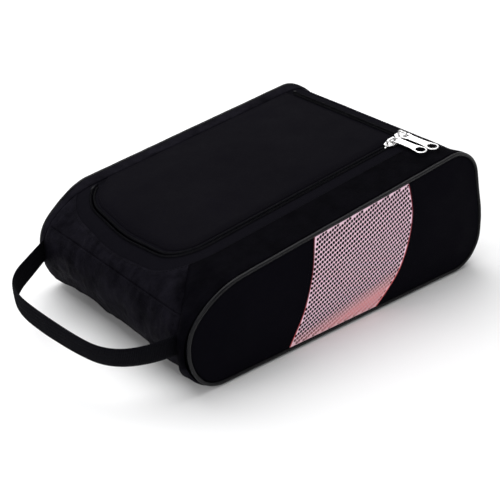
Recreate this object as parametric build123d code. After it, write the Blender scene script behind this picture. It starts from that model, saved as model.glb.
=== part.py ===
from build123d import *
import os
from math import cos, radians, sin, tan

# Golf shoe bag: a wedge-shaped zipped bag that rests on its flat bottom.
# +X runs to the tall rear end, -X to the low rounded nose that carries the
# handle, -Y is the near side and +Z is up. The origin is on the floor under
# the middle of the bag. All lengths are in millimetres, angles in degrees.

# Overall shape
BAG_WIDTH = 218.0
TOP_SLOPE = 7.74  # the top rises towards the rear
TOP_AT_MIDDLE = 106.2  # height of the top surface at mid length
HEEL_X = 170.2  # the rear is upright up to the bend, then leans forward
REAR_BEND_Z, REAR_LEAN = 48.0, 15.1
NOSE_X = -165.0
NOSE_TOP_X = -135.2  # corner between the top and the nose before rounding
NOSE_HIGH_Z = 59.2  # the nose is upright between these two heights
NOSE_LOW_Z = 26.4
NOSE_FOOT_X = -146.4  # corner between the nose and the bottom
HEEL_RADIUS, REAR_BEND_RADIUS, REAR_TOP_RADIUS = 32.0, 110.0, 35.0
NOSE_TOP_RADIUS, NOSE_HIGH_RADIUS = 76.0, 37.0
NOSE_LOW_RADIUS, NOSE_FOOT_RADIUS = 48.0, 31.0

# Fabric, piping and stiffeners
FABRIC = 1.2
MESH = 0.8
PIPING_RADIUS = 1.75
SIDE_SETBACK = 1.0  # how far the side panels sit inside the piping's outer face
BINDING_WIDTH = 4.5
BINDING_DEPTH = 1.5
BOARD = 2.5
LINING = 0.6
BOARD_MARGIN = 9.0
BOARD_FRONT_X, BOARD_REAR_X = -122.0, 142.0

# Seams between the gusset's panels
NOSE_SEAM_Z = 64.6
REAR_SEAM_Z = 100.0
BOTTOM_FRONT_X, BOTTOM_REAR_X = -118.0, 148.0
REAR_FACE_X = 120.0  # the rear panel lies wholly behind this
STRIP_FOOT_Z = 28.0  # the top gussets end here, under the handle's ends
CREASE_TOP = (-121.0, -57.0)  # seam from the zip's corner down to the handle
CREASE_FOOT = (-170.0, -97.6)

# Mesh window in each side, its two edges as arcs through three (x, z) points
WINDOW_FRONT = ((-41.0, 130.0), (-44.0, 55.0), (-68.0, -6.0))
WINDOW_REAR = ((58.0, 130.0), (72.0, 72.0), (22.0, -6.0))

# Zip line, in the plane of the top: u along the bag, v across it
NEAR_RUN_V = -54.0
REAR_RUN_U = 118.0
ZIP_FRONT = ((-75.0, 120.0), (-131.5, 80.0), (-139.5, 14.0), (-133.5, NEAR_RUN_V))
ZIP_FRONT_RADII = (0.0, 45.0, 150.0, 28.0)
ZIP_REAR_RADIUS = 0.5
HINGE_V = 98.0  # the lid swings about this line on the far side
HINGE_GAP = 0.3  # clearance each side of the hinge line

# Zip section
TAPE = 0.8
SHELL_TAPE_EDGE, LID_TAPE_EDGE = 17.0, 12.0  # each tape's distance from the zip line
COIL_INNER, COIL_OUTER = 0.9, 3.0  # each coil's distance from the zip line
SHELL_EDGE = 14.5  # distance from the zip line to the gusset's edge
LID_EDGE = 5.0  # and to the lid panel's edge
COIL_END_V = 91.0
STOP_LENGTH = 3.0
LID_FOAM = 2.0
LID_FOLD = 4.0  # the foam and lining stop this far from the hinge
LID_BINDING_WIDTH = 5.0

# Sliders: local x along the track, y across it, z up from the top surface
SLIDER_LENGTH, SLIDER_WIDTH = 14.0, 9.4
PLATE = 1.2
RUNNING_GAP = 0.3
RIM = 1.35
POST_LENGTH, POST_WIDTH = 2.4, 1.2
TAIL_WIDTH, HEAD_WIDTH = 0.62, 0.7  # ends of the plate, as shares of its width
TAIL_TAPER, HEAD_TAPER = 0.3, 0.8  # where the plate narrows, as shares of its half length
UNDER_PLATE = 0.9  # the under plate's length as a share of the top one's
BRIDGE_LENGTH, BRIDGE_WIDTH, BRIDGE_BAR = 11.0, 2.0, 1.2
BRIDGE_CLEAR = 2.8  # room under the bridge for the pull tab's base
NEAR_SLIDER_U = 102.4
REAR_SLIDER_V = -52.7
LEG_OFFSET = (BRIDGE_LENGTH - BRIDGE_BAR) / 2  # from a slider's middle to a bridge leg

# Pull tabs
TAB_LENGTH, TAB_WIDTH, TAB = 38.7, 10.5, 1.2
TAB_HOLE_RADIUS = 3.8
TAB_SLOT_LENGTH, TAB_SLOT_WIDTH = 4.6, 3.2
TAB_BASE = 1.2  # width of the bar behind the slot
TAB_SHANK = 0.86  # the shank's width as a share of the round end's

# Handle: a webbing loop standing on its edge, in a plane tilted down forwards
WEBBING_WIDTH, WEBBING = 19.0, 1.8
HANDLE_AXIS_X, HANDLE_AXIS_Z = -167.0, 42.8
HANDLE_TILT = 5.4
HANDLE_PATH = ((-2.5, -94.0), (45.0, -82.0), (58.5, 15.0), (47.0, 77.0), (-4.5, 101.5))
HANDLE_RADII = (32.0, 200.0, 32.0)
HANDLE_END_RADIUS = 20.0  # the sewn ends reach this far from the hinge line

FAR = 300.0  # longer than anything here, for cutting blocks
CUT_DEPTH, CUT_RISE = 60.0, 20.0  # how far a cut through the top reaches, down and up
GUSSET_Y = BAG_WIDTH / 2 - 2 * PIPING_RADIUS
TOP_PLANE = Plane(
    origin=(0, 0, TOP_AT_MIDDLE),
    x_dir=(cos(radians(TOP_SLOPE)), 0, sin(radians(TOP_SLOPE))),
    z_dir=(-sin(radians(TOP_SLOPE)), 0, cos(radians(TOP_SLOPE))),
)


def top_height(x):
    """Height of the straight part of the top surface."""
    return TOP_AT_MIDDLE + x * tan(radians(TOP_SLOPE))


def profile(inset):
    """Side outline of the bag, drawn in from its outer surface."""
    lean = tan(radians(REAR_LEAN))
    leaning = HEEL_X - lean * (TOP_AT_MIDDLE - REAR_BEND_Z)
    rear_top_x = leaning / (1 + lean * tan(radians(TOP_SLOPE)))
    corners = (
        (HEEL_X, 0),
        (HEEL_X, REAR_BEND_Z),
        (rear_top_x, top_height(rear_top_x)),
        (NOSE_TOP_X, top_height(NOSE_TOP_X)),
        (NOSE_X, NOSE_HIGH_Z),
        (NOSE_X, NOSE_LOW_Z),
        (NOSE_FOOT_X, 0),
    )
    radii = (
        HEEL_RADIUS,
        REAR_BEND_RADIUS,
        REAR_TOP_RADIUS,
        NOSE_TOP_RADIUS,
        NOSE_HIGH_RADIUS,
        NOSE_LOW_RADIUS,
        NOSE_FOOT_RADIUS,
    )
    face = make_face(FilletPolyline(*corners, radius=radii, close=True))
    return offset(face, amount=-inset) if inset else face


def across(face, y_low, y_high):
    """Extrude a side-view face between two Y positions."""
    return extrude(Plane.XZ.offset(-y_high) * face, y_high - y_low)


def layer(outer, inner, y_low, y_high):
    """A band that follows the outline between two depths below its surface."""
    return across(profile(outer) - profile(inner), y_low, y_high)


def block(low, high):
    """A box given by its lowest and highest corners."""
    size = [high[i] - low[i] for i in range(3)]
    return Pos(*low) * Box(*size, align=(Align.MIN, Align.MIN, Align.MIN))


def zip_zone(grow, hinge_side):
    """Plan area inside the zip line, grown by a distance, up to the hinge."""
    corners = (*ZIP_FRONT, (REAR_RUN_U, NEAR_RUN_V), (REAR_RUN_U, ZIP_FRONT[0][1]))
    radii = (*ZIP_FRONT_RADII, ZIP_REAR_RADIUS, 0.0)
    face = make_face(FilletPolyline(*corners, radius=radii, close=True))
    if grow:
        face = offset(face, amount=grow, kind=Kind.INTERSECTION)
    keep = Pos(0, hinge_side - FAR / 2) * Rectangle(2 * FAR, FAR)
    return face & keep


def through_top(face):
    """A block through the top of the bag, square to the top surface."""
    return extrude(TOP_PLANE.offset(-CUT_DEPTH) * face, CUT_DEPTH + CUT_RISE)


def on_top(solid):
    """Place a solid drawn in the top's own plane."""
    return TOP_PLANE * solid


def gusset_panels():
    """The panels that make the band between the two sides."""
    skin = layer(0, FABRIC, -GUSSET_Y, GUSSET_Y)
    skin -= through_top(zip_zone(SHELL_EDGE, HINGE_V + HINGE_GAP))
    near_plan = Polyline(
        (FAR, CREASE_TOP[1]),
        CREASE_TOP,
        CREASE_FOOT,
        (CREASE_FOOT[0], -FAR),
        (FAR, -FAR),
        close=True,
    )
    near_strip = extrude(Pos(0, 0, STRIP_FOOT_Z) * make_face(near_plan), FAR)
    far_strip = block((-FAR, HINGE_V + HINGE_GAP, STRIP_FOOT_Z), (FAR, FAR, FAR))
    below_seam = block((NOSE_TOP_X, -FAR, -1), (FAR, FAR, NOSE_SEAM_Z))
    strips = near_strip + far_strip - below_seam
    bottom = block((BOTTOM_FRONT_X, -FAR, -1), (BOTTOM_REAR_X, FAR, NOSE_LOW_Z))
    rear_face = block((REAR_FACE_X, -FAR, -1), (FAR, FAR, REAR_SEAM_Z)) - bottom
    strips -= rear_face
    near_half = block((-FAR, -FAR, -FAR), (FAR, 0, FAR))
    nose_low = block((-FAR, -FAR, -1), (BOTTOM_FRONT_X, FAR, NOSE_SEAM_Z)) - strips
    nose_high = block((-FAR, -FAR, NOSE_SEAM_Z), (0, FAR, FAR)) - strips
    rear_top = block((0, -FAR, REAR_SEAM_Z), (FAR, FAR, FAR)) - strips
    return {
        "bottom_panel": skin & bottom,
        "rear_panel": skin & rear_face,
        "rear_top_strip": skin & rear_top,
        "near_top_gusset": skin & strips & near_half,
        "far_top_gusset": skin & (strips - near_half),
        "upper_nose_panel": skin & nose_high,
        "lower_nose_panel": skin & nose_low,
    }


def window_area():
    """Side-view area of the mesh window."""
    front = ThreePointArc(*WINDOW_FRONT)
    rear = ThreePointArc(*WINDOW_REAR)
    head = Line(front @ 0, rear @ 0)
    foot = Line(front @ 1, rear @ 1)
    return make_face([front, head, rear, foot])


def side_panels(side, sign):
    """The mesh window and the plain panels before and behind it."""
    outer = BAG_WIDTH / 2 - SIDE_SETBACK
    panel = profile(2 * PIPING_RADIUS)
    window = window_area()
    ahead = Pos(-FAR / 2, 0) * Rectangle(FAR, 2 * FAR)
    behind = Pos(FAR / 2, 0) * Rectangle(FAR, 2 * FAR)

    def plate(face, thickness):
        y = sorted((sign * (outer - thickness), sign * outer))
        return across(face, *y)

    return {
        f"{side}_front_panel": plate((panel - window) & ahead, FABRIC),
        f"{side}_mesh_window": plate(panel & window, MESH),
        f"{side}_rear_panel": plate((panel - window) & behind, FABRIC),
    }


def piping(sign):
    """The covered cord round the edge of one side."""
    y = sign * (BAG_WIDTH / 2 - PIPING_RADIUS)
    path = (Plane.XZ.offset(-y) * profile(PIPING_RADIUS)).face().outer_wire()
    section = Plane(origin=path @ 0, z_dir=path % 0) * Circle(PIPING_RADIUS)
    return sweep(section, path=path)


def seam_binding(sign):
    """The tape inside that covers one side's seam allowance."""
    inner_y = GUSSET_Y - BINDING_WIDTH
    panel_y = BAG_WIDTH / 2 - SIDE_SETBACK - FABRIC
    edge = 2 * PIPING_RADIUS
    under_gusset = layer(FABRIC, edge, *sorted((sign * inner_y, sign * GUSSET_Y)))
    behind_panel = layer(edge, edge + BINDING_DEPTH, *sorted((sign * inner_y, sign * panel_y)))
    return under_gusset + behind_panel


def floor_pieces():
    """The stiffening board on the bottom panel and the lining over it."""
    half = GUSSET_Y - BOARD_MARGIN
    low, high = (BOARD_FRONT_X, -FAR, 0), (BOARD_REAR_X, FAR, NOSE_LOW_Z)
    board = layer(FABRIC, FABRIC + BOARD, -half, half) & block(low, high)
    lining = layer(FABRIC + BOARD, FABRIC + BOARD + LINING, -half, half) & block(low, high)
    return {"base_board": board, "base_lining": lining}


def shell_zip():
    """The tape, coil and end stops on the shell's side of the zip."""
    side = HINGE_V + HINGE_GAP
    tape_area = zip_zone(SHELL_TAPE_EDGE, side) - zip_zone(COIL_INNER, side)
    coil_area = zip_zone(COIL_OUTER, side) - zip_zone(COIL_INNER, side)
    end = COIL_END_V
    below_end = through_top(Pos(0, end - FAR / 2) * Rectangle(2 * FAR, FAR))
    at_end = through_top(Pos(0, end + STOP_LENGTH / 2) * Rectangle(2 * FAR, STOP_LENGTH))
    coil = layer(0, FABRIC, -GUSSET_Y, GUSSET_Y) & through_top(coil_area)
    stops = coil & at_end
    front_half = block((-FAR, -FAR, -FAR), (0, FAR, FAR))
    tape = layer(FABRIC, FABRIC + TAPE, -GUSSET_Y, GUSSET_Y)
    return {
        "shell_zip_tape": tape & through_top(tape_area),
        "shell_zip_coil": coil & below_end,
        "front_zip_stop": stops & front_half,
        "rear_zip_stop": stops - front_half,
    }


def slider_notch():
    """Room that the lid's zip half leaves round the two parked sliders."""
    reach = SLIDER_LENGTH / 2 + RUNNING_GAP
    near_low = (NEAR_SLIDER_U - reach, NEAR_RUN_V, -LID_EDGE)
    near_high = (REAR_RUN_U, NEAR_RUN_V + LID_EDGE, LID_EDGE)
    rear_low = (REAR_RUN_U - LID_EDGE, NEAR_RUN_V, -LID_EDGE)
    rear_high = (REAR_RUN_U, REAR_SLIDER_V + reach, LID_EDGE)
    return on_top(block(near_low, near_high) + block(rear_low, rear_high))


def lid_pieces():
    """The lid's panel, foam, lining, binding and its half of the zip."""
    side = HINGE_V - HINGE_GAP
    fold = HINGE_V - LID_FOLD
    foam_depth = FABRIC + LID_FOAM
    tape_area = zip_zone(-COIL_INNER, fold) - zip_zone(-LID_TAPE_EDGE, fold)
    coil_area = zip_zone(-COIL_INNER, COIL_END_V) - zip_zone(-COIL_OUTER, COIL_END_V)
    binding_edge = LID_TAPE_EDGE - LID_BINDING_WIDTH
    binding_area = zip_zone(-binding_edge, fold) - zip_zone(-LID_TAPE_EDGE, fold)
    y_range = (-GUSSET_Y, GUSSET_Y)
    notch = slider_notch()
    return {
        "lid_panel": layer(0, FABRIC, *y_range) & through_top(zip_zone(-LID_EDGE, side)),
        "lid_foam": layer(FABRIC, foam_depth, *y_range)
        & through_top(zip_zone(-LID_TAPE_EDGE, fold)),
        "lid_lining": layer(foam_depth, foam_depth + LINING, *y_range)
        & through_top(zip_zone(-binding_edge, fold)),
        "lid_binding": layer(FABRIC + TAPE, foam_depth, *y_range) & through_top(binding_area),
        "lid_zip_tape": (layer(FABRIC, FABRIC + TAPE, *y_range) & through_top(tape_area)) - notch,
        "lid_zip_coil": (layer(0, FABRIC, *y_range) & through_top(coil_area)) - notch,
    }


def slider(track):
    """A slider's body and the cap that bridges it, placed on the zip."""
    half = SLIDER_WIDTH / 2
    nose = SLIDER_LENGTH / 2
    tail, head = -nose * TAIL_TAPER, nose * HEAD_TAPER
    outline = Polyline(
        (-nose, -half * TAIL_WIDTH),
        (tail, -half),
        (head, -half),
        (nose, -half * HEAD_WIDTH),
        (nose, half * HEAD_WIDTH),
        (head, half),
        (tail, half),
        (-nose, half * TAIL_WIDTH),
        close=True,
    )
    plate = make_face(outline)
    top = extrude(Pos(0, 0, RUNNING_GAP) * plate, PLATE)
    under = -(FABRIC + TAPE + RUNNING_GAP)
    bottom = extrude(Pos(0, 0, under) * scale(plate, (UNDER_PLATE, 1, 1)), -PLATE)
    post = block(
        (-POST_LENGTH / 2, -POST_WIDTH / 2, under),
        (POST_LENGTH / 2, POST_WIDTH / 2, RUNNING_GAP),
    )
    body = top + bottom + post
    for sign in (-1, 1):
        y = sorted((sign * half, sign * (half - RIM)))
        low = (tail, y[0], RUNNING_GAP - FABRIC)
        body += block(low, (head, y[1], RUNNING_GAP))
    foot = RUNNING_GAP + PLATE
    arch = block(
        (-BRIDGE_LENGTH / 2, -BRIDGE_WIDTH / 2, foot),
        (BRIDGE_LENGTH / 2, BRIDGE_WIDTH / 2, foot + BRIDGE_CLEAR + BRIDGE_BAR),
    )
    arch = fillet(arch.edges().filter_by(Axis.Y).group_by(Axis.Z)[-1], 2 * BRIDGE_BAR)
    arch -= block(
        (BRIDGE_BAR - BRIDGE_LENGTH / 2, -BRIDGE_WIDTH, foot),
        (BRIDGE_LENGTH / 2 - BRIDGE_BAR, BRIDGE_WIDTH, foot + BRIDGE_CLEAR),
    )
    return on_top(track * body), on_top(track * arch)


def pull_tab(leg_u, leg_v):
    """A flat tab whose slot goes round a bridge leg; it lies towards -Y."""
    half = TAB_WIDTH / 2
    base = TAB_SLOT_WIDTH / 2 + TAB_BASE
    end_y = base - TAB_LENGTH + half
    shank_length = TAB_LENGTH - half
    shank = Pos(0, base - shank_length / 2) * Rectangle(TAB_WIDTH * TAB_SHANK, shank_length)
    face = shank + Pos(0, end_y) * Circle(half)
    face -= Pos(0, end_y) * Circle(TAB_HOLE_RADIUS)
    face -= Rectangle(TAB_SLOT_LENGTH, TAB_SLOT_WIDTH)
    height = RUNNING_GAP + PLATE + RUNNING_GAP
    return on_top(Pos(leg_u, leg_v, height) * extrude(face, TAB))


def handle():
    """The handle's free loop and its two sewn ends."""
    tilt = radians(HANDLE_TILT)
    plane = Plane(
        origin=(HANDLE_AXIS_X, 0, HANDLE_AXIS_Z),
        x_dir=(-cos(tilt), 0, -sin(tilt)),
        z_dir=(sin(tilt), 0, -cos(tilt)),
    )
    path = FilletPolyline(*[(p, -q) for p, q in HANDLE_PATH], radius=HANDLE_RADII)
    ribbon = trace(path, WEBBING)
    band = extrude(plane * ribbon, WEBBING_WIDTH / 2, both=True)
    turn = Pos(HANDLE_AXIS_X, 0, HANDLE_AXIS_Z) * Rot(90, 0, 0)
    bag = across(profile(0), -GUSSET_Y, GUSSET_Y)
    sewn = (band & turn * Cylinder(HANDLE_END_RADIUS, FAR)) - bag
    loop = band - turn * Cylinder(HANDLE_END_RADIUS + RUNNING_GAP, FAR)
    near_half = block((-FAR, -FAR, -FAR), (FAR, 0, FAR))
    return {
        "handle_strap": loop,
        "near_handle_end": sewn & near_half,
        "far_handle_end": sewn - near_half,
    }


def build():
    """Every node of the bag by name."""
    nodes = {}
    nodes.update(gusset_panels())
    for side, sign in (("near", -1), ("far", 1)):
        nodes.update(side_panels(side, sign))
        nodes[f"{side}_piping"] = piping(sign)
        nodes[f"{side}_seam_binding"] = seam_binding(sign)
    nodes.update(floor_pieces())
    nodes.update(shell_zip())
    nodes.update(lid_pieces())
    near_track = Pos(NEAR_SLIDER_U, NEAR_RUN_V, 0)
    rear_track = Pos(REAR_RUN_U, REAR_SLIDER_V, 0) * Rot(0, 0, 90)
    nodes["near_slider"], nodes["near_slider_cap"] = slider(near_track)
    nodes["rear_slider"], nodes["rear_slider_cap"] = slider(rear_track)
    nodes["near_pull_tab"] = pull_tab(NEAR_SLIDER_U + LEG_OFFSET, NEAR_RUN_V)
    nodes["rear_pull_tab"] = pull_tab(REAR_RUN_U, REAR_SLIDER_V - LEG_OFFSET)
    nodes.update(handle())
    return nodes


os.makedirs("parts", exist_ok=True)
for name, shape in build().items():
    export_step(shape, f"parts/{name}.step")
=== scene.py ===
from math import atan2, ceil, cos, hypot, pi, radians, sin, tan

import bpy
import numpy as np
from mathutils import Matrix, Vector, noise
from mathutils.geometry import delaunay_2d_cdt


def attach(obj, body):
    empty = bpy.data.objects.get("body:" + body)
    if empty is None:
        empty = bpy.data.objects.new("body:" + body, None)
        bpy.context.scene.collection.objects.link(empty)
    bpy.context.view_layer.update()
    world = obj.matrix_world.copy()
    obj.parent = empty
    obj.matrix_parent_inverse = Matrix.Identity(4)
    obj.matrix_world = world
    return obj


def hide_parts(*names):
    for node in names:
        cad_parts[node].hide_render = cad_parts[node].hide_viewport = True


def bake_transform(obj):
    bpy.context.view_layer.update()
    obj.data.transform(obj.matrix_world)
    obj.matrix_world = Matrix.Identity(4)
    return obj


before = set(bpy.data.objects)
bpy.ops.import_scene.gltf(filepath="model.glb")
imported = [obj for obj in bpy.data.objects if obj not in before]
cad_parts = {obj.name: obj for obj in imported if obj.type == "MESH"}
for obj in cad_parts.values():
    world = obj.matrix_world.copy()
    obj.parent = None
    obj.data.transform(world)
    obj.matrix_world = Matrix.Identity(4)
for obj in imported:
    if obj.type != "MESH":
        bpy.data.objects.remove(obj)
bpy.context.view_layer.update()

# Golf shoe bag. +X runs to the tall rear end, -X to the low nose with the
# handle, -Y is the near side, +Z is up. Lengths below are millimetres, and
# add_mesh() turns them into the frame's metres. Cloth round the band is drawn
# flat, by its distance s round the side outline and its y across the bag.
MM = 0.001
X_AXIS, Z_AXIS = 0, 1

# Side outline, as in the CAD: corners (x, z) clockwise from mid top
TOP_Z, TOP_SLOPE = 106.2, radians(7.74)
OUTLINE_CORNERS = (
    (0.0, 106.2), (149.03, 126.46), (170.2, 48.0), (170.2, 0.0), (-146.4, 0.0),
    (-165.0, 26.4), (-165.0, 59.2), (-135.2, 87.8), (0.0, 106.2),
)
OUTLINE_RADII = (0.0, 35.0, 110.0, 32.0, 31.0, 48.0, 37.0, 76.0, 0.0)
GUSSET_Y = 105.5  # the gusset's half width, inside the piping
PANEL_Y = 108.0  # the side panels' outer face
PIPING_RADIUS, PIPING_Y = 1.75, 107.25
FABRIC, LINING = 1.2, 0.6
SIDE_FABRIC, NET, BACKING, BACKING_DEPTH = 1.0, 0.25, 0.4, 1.2
EDGE_RINGS = (0.5, 1.2, 2.2)  # rows of points that follow a sheet's edge

# Seams of the gusset
NOSE_SEAM_Z, REAR_SEAM_Z, STRIP_FOOT_Z = 64.6, 100.0, 28.0
BOTTOM_FRONT_X, BOTTOM_REAR_X = -118.0, 148.0
CREASE_TOP, CREASE_FOOT = (-121.0, -57.0), (-170.0, -97.6)
BOARD_MARGIN, BOARD_FRONT_X, BOARD_REAR_X, BOARD = 9.0, -122.0, 142.0, 2.5

# Mesh window: each edge is an arc through three (x, z) points
WINDOW_FRONT = ((-41.0, 130.0), (-44.0, 55.0), (-68.0, -6.0))
WINDOW_REAR = ((58.0, 130.0), (72.0, 72.0), (22.0, -6.0))
MESH_ROW, MESH_DOWN = (2.80, 1.15), (2.12, -2.98)  # along a row of holes, to the next
MESH_HOLE = (1.40, 1.70)  # half width of a hole along its row, and across it
MESH_RINGS = (1.0, 1.08)  # the hole's edge and the top of the thread round it
MESH_SELVEDGE, MESH_MARGIN = 0.4, 1.1

# Zip line in the top's plane: u along the bag, v across it
NEAR_RUN_V, REAR_RUN_U = -54.0, 118.0
ZIP_CORNERS = (
    (-75.0, 120.0), (-131.5, 80.0), (-139.5, 14.0),
    (-133.5, NEAR_RUN_V), (REAR_RUN_U, NEAR_RUN_V), (REAR_RUN_U, 120.0),
)
ZIP_RADII = (0.0, 45.0, 150.0, 28.0, 0.5, 0.0)
HINGE_V, HINGE_GAP, HINGE_TAPE, HINGE_TAPE_HALF = 98.0, 0.3, 0.45, 5.5
TAPE, TAPE_EDGE = 0.8, 0.65
SHELL_TAPE_EDGE, LID_TAPE_EDGE = 17.0, 12.0
SHELL_EDGE, LID_EDGE, LID_FOLD = 14.5, 5.0, 4.0
LID_FOAM, LID_BINDING, LID_BINDING_THICK = 2.0, 5.0, 1.1
COIL_END_V, COIL_PITCH, COIL_TURN, COIL_WIRE = 91.0, 1.35, 1.3, 0.25
COIL_MIDDLE, COIL_INSIDE = 1.75, 0.75  # lines beside the zip line that guide a coil
COIL_DEPTH, COIL_SINK, COIL_STEPS = 0.46, 0.62, 9  # steps are points in one turn

# Sliders and pull tabs
SLIDER_LENGTH, SLIDER_WIDTH, PLATE, RUNNING_GAP = 14.0, 9.4, 1.2, 0.3
NEAR_SLIDER_U, REAR_SLIDER_V, LEG_OFFSET = 102.4, -52.7, 4.9
SLIDER_REACH = SLIDER_LENGTH / 2 + RUNNING_GAP
FLANGE, POST = 1.2, (1.2, 0.15)  # a side wall's thickness, and the post's half sizes
BRIDGE_LENGTH, BRIDGE_WIDTH, BRIDGE_BAR, BRIDGE_CLEAR = 11.0, 2.0, 1.2, 2.8
TAB_LENGTH, TAB_WIDTH, TAB, TAB_HOLE = 38.7, 10.5, 1.2, 3.8
TAB_SLOT = (2.3, 1.6)  # half sizes

# Stitches: distance apart, length and sides; a profile of (along, size, high)
STITCH_PITCH, STITCH, STITCH_SIDES = 3.2, 2.3, 6
STITCH_PROFILE = ((-0.5, 0.15, -0.5), (-0.36, 0.85, -0.05), (-0.12, 1.0, 0.25),
                  (0.12, 1.0, 0.25), (0.36, 0.85, -0.05), (0.5, 0.15, -0.5))
SHELL_ROW, NOSE_ROW, WINDOW_ROWS = 1.8, 8.5, (1.6, 4.6)  # rows' distance from their seams

# Seam binding's section: (depth under the outline, y)
BINDING_SECTION = (
    (1.5, 105.3), (1.4, 103.6), (1.7, 101.6), (3.0, 101.1), (4.7, 101.5), (5.1, 103.4),
    (5.0, 105.6), (4.4, 106.6), (3.8, 106.4), (3.6, 104.9), (2.6, 105.0),
)

# Handle: webbing on edge, its centre line worked over from the sewn ends
WEBBING_WIDTH, WEBBING, RIB_PITCH, RIB, WEBBING_ROWS = 19.0, 1.8, 1.35, 0.17, 13
HANDLE_LINE = (
    (-164.6, -93.8, 42.8), (-176.0, -91.4, 41.0), (-190.0, -86.0, 39.3),
    (-204.5, -76.5, 38.1), (-214.5, -61.0, 37.5), (-219.5, -33.0, 37.4),
    (-223.0, 2.0, 37.3), (-224.2, 34.0, 37.3), (-219.5, 58.0, 37.3),
    (-207.0, 75.0, 37.7), (-188.0, 87.0, 39.1), (-163.4, 101.4, 42.8),
)
HANDLE_LEAN = (2.0, 5.0, 10.0, 13.0, 10.0, 4.0, 0.0, 0.0, 4.0, 9.0, 6.0, 1.0)
HANDLE_BEND = ((-0.1655, 0.0, 0.0428), (-0.187, 0.0, 0.0428))  # metres, fixed to free

# View and light, in metres and watts: lamps are (name, place, size, power)
CAMERA_PLACE, CAMERA_WAY = (-0.5538, -0.6487, 0.4988), (0.5588, 0.6729, -0.4846)
CAMERA_LENS, CAMERA_SENSOR = 77.85, 36.0
LAMPS = (
    ("key", (0.12, 0.60, 1.6), (2.2, 2.2), 45),
    ("front", (-1.5, 0.1, 0.7), (1.2, 0.7), 9),
    ("side", (0.05, -1.5, 0.4), (1.0, 0.5), 3.6),
)
LAMP_TARGET, SURROUND = (0.0, 0.0, 0.06), 0.35
FLOOR_HALF, FLOOR_DROP = 12.0, 0.0006


# ---------------------------------------------------------------- helpers
def unit(rows):
    """Rows of vectors at unit length."""
    return rows / np.linalg.norm(rows, axis=1)[:, None]


def box(low, high):
    """The closed loop round a rectangle, from two opposite corners."""
    (a, b), (c, d) = low, high
    return np.array([(a, b), (c, b), (c, d), (a, d)], float)


def box_about(half):
    """A rectangle about the origin, by its half sizes."""
    return box((-half[0], -half[1]), half)


def turn_between(before, after):
    """A way's heading, and how far the next way turns from it."""
    start = atan2(before[1], before[0])
    return start, (atan2(after[1], after[0]) - start + pi) % (2 * pi) - pi


def corner_arc(here, before, after, radius, steps=None):
    """A rounded turn at a corner between two ways: points and headings."""
    start, turn = turn_between(before, after)
    side = 1.0 if turn > 0 else -1.0
    first = here - before / np.linalg.norm(before) * (radius * tan(abs(turn) / 2))
    centre = first + radius * side * np.array((-sin(start), cos(start)))
    steps = steps or max(3, ceil(abs(turn) / radians(1.5)))
    headings = [start + turn * k / steps for k in range(steps + 1)]
    return [centre - radius * side * np.array((-sin(h), cos(h))) for h in headings], headings


def rounded(corners, radii):
    """An open run through corners with rounded turns: points and headings."""
    corners = [np.array(c, float) for c in corners]
    ways = [b - a for a, b in zip(corners, corners[1:])]
    points, headings = [corners[0]], [atan2(ways[0][1], ways[0][0])]
    for here, before, after, radius in zip(corners[1:], ways, ways[1:], radii[1:]):
        arc, turned = corner_arc(here, before, after, radius)
        points += arc
        headings += turned
    points.append(corners[-1])
    headings.append(atan2(ways[-1][1], ways[-1][0]))
    return np.array(points), np.unwrap(headings)


def soft_corners(corners, radius, steps=5):
    """A closed outline whose corners are rounded."""
    loop = []
    corners = np.array(corners, float)
    for a, b, c in zip(np.roll(corners, 1, axis=0), corners, np.roll(corners, -1, axis=0)):
        before, after = b - a, c - b
        room = min(np.linalg.norm(before), np.linalg.norm(after)) * 0.45
        turn = turn_between(before, after)[1]
        fits = min(radius, room / max(tan(abs(turn) / 2), 1e-6))
        loop += corner_arc(b, before, after, fits, steps)[0]
    return [tuple(p) for p in loop]


def run_lengths(points):
    """Distance along a run at each of its points."""
    steps = np.linalg.norm(np.diff(points, axis=0), axis=1)
    return np.concatenate([[0.0], np.cumsum(steps)])


def at_lengths(t, at, rows):
    """A run's rows at other distances t along it, from those at its points."""
    return np.stack([np.interp(t, at, rows[:, k]) for k in range(rows.shape[1])], axis=-1)


OUTLINE, OUTLINE_HEADING = rounded(OUTLINE_CORNERS, OUTLINE_RADII)
OUTLINE_AT = run_lengths(OUTLINE)
ROUND = OUTLINE_AT[-1]  # the length once round the outline


def outline(s):
    """Outline point and outward normal at distance s from mid top, rearwards."""
    s = np.mod(s, ROUND)
    x = np.interp(s, OUTLINE_AT, OUTLINE[:, 0])
    z = np.interp(s, OUTLINE_AT, OUTLINE[:, 1])
    heading = np.interp(s, OUTLINE_AT, OUTLINE_HEADING)
    return x, z, -np.sin(heading), np.cos(heading)


def skin(s, y, height):
    """Points over the gusset: height is outwards from the bag's surface."""
    x, z, nx, nz = outline(s)
    return np.stack([x + nx * height, y + 0 * x, z + nz * height], axis=1)


def find_s(value, low, high, axis):
    """Distance s between low and high where the outline's x or z is value."""
    s = np.linspace(low, high, 6000)
    along = outline(s)[axis]
    return s[np.argmin(np.abs(along - value))]


def along_top(x, z):
    """The top plane's u of a side-view point."""
    return x * cos(TOP_SLOPE) + (z - TOP_Z) * sin(TOP_SLOPE)


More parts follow.
